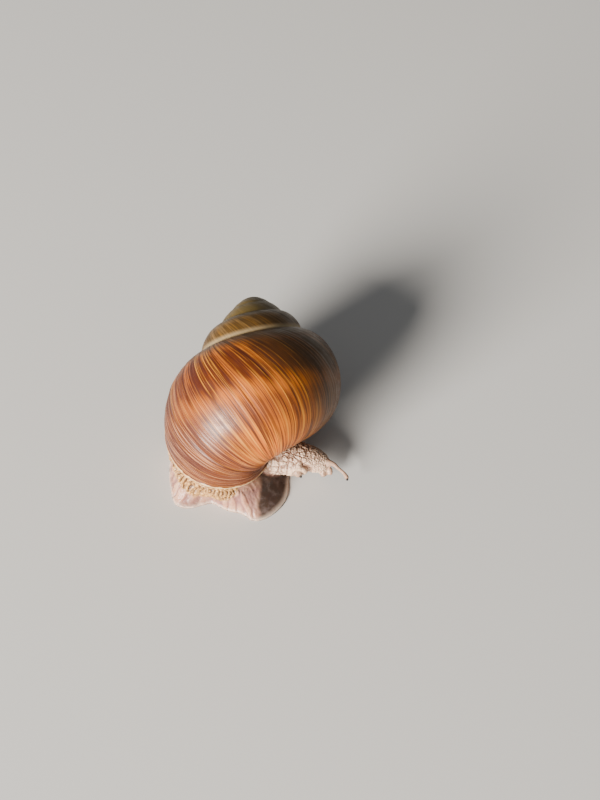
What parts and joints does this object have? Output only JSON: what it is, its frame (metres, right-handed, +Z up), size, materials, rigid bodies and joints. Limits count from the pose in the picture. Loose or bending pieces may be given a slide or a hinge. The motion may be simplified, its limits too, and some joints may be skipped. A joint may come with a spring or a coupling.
{
  "type": "roman snail",
  "caption": "Life-size still model of a large land snail with a striped coiled shell, its foot short and its head reaching out from under the shell",
  "frame": {"origin": "centre of the model's footprint box, on the plane it rests on", "axes": "+Z up; +X towards the end where the head reaches out, -Y towards the side of the shell's outer lip, +Y towards the apex"},
  "size_m": [0.0416, 0.0464, 0.0316],
  "materials": {
    "shell": "glossy amber-brown shell with reddish-brown streaks along its growth lines",
    "skin": "moist beige-grey skin of small raised tubercles",
    "mantle": "moist tan-yellow grained mantle edge",
    "eye": "glossy black"
  },
  "bodies": {
    "root": {"shell": "shell", "foot_tail": "skin", "foot_middle": "skin", "foot_front": "skin", "neck": "skin", "head": "skin", "lips": "skin", "left_upper_tentacle": "skin", "right_upper_tentacle": "skin", "left_lower_tentacle": "skin", "right_lower_tentacle": "skin", "mantle_collar": "mantle", "left_eye": "eye", "right_eye": "eye"}
  },
  "joints": []
}
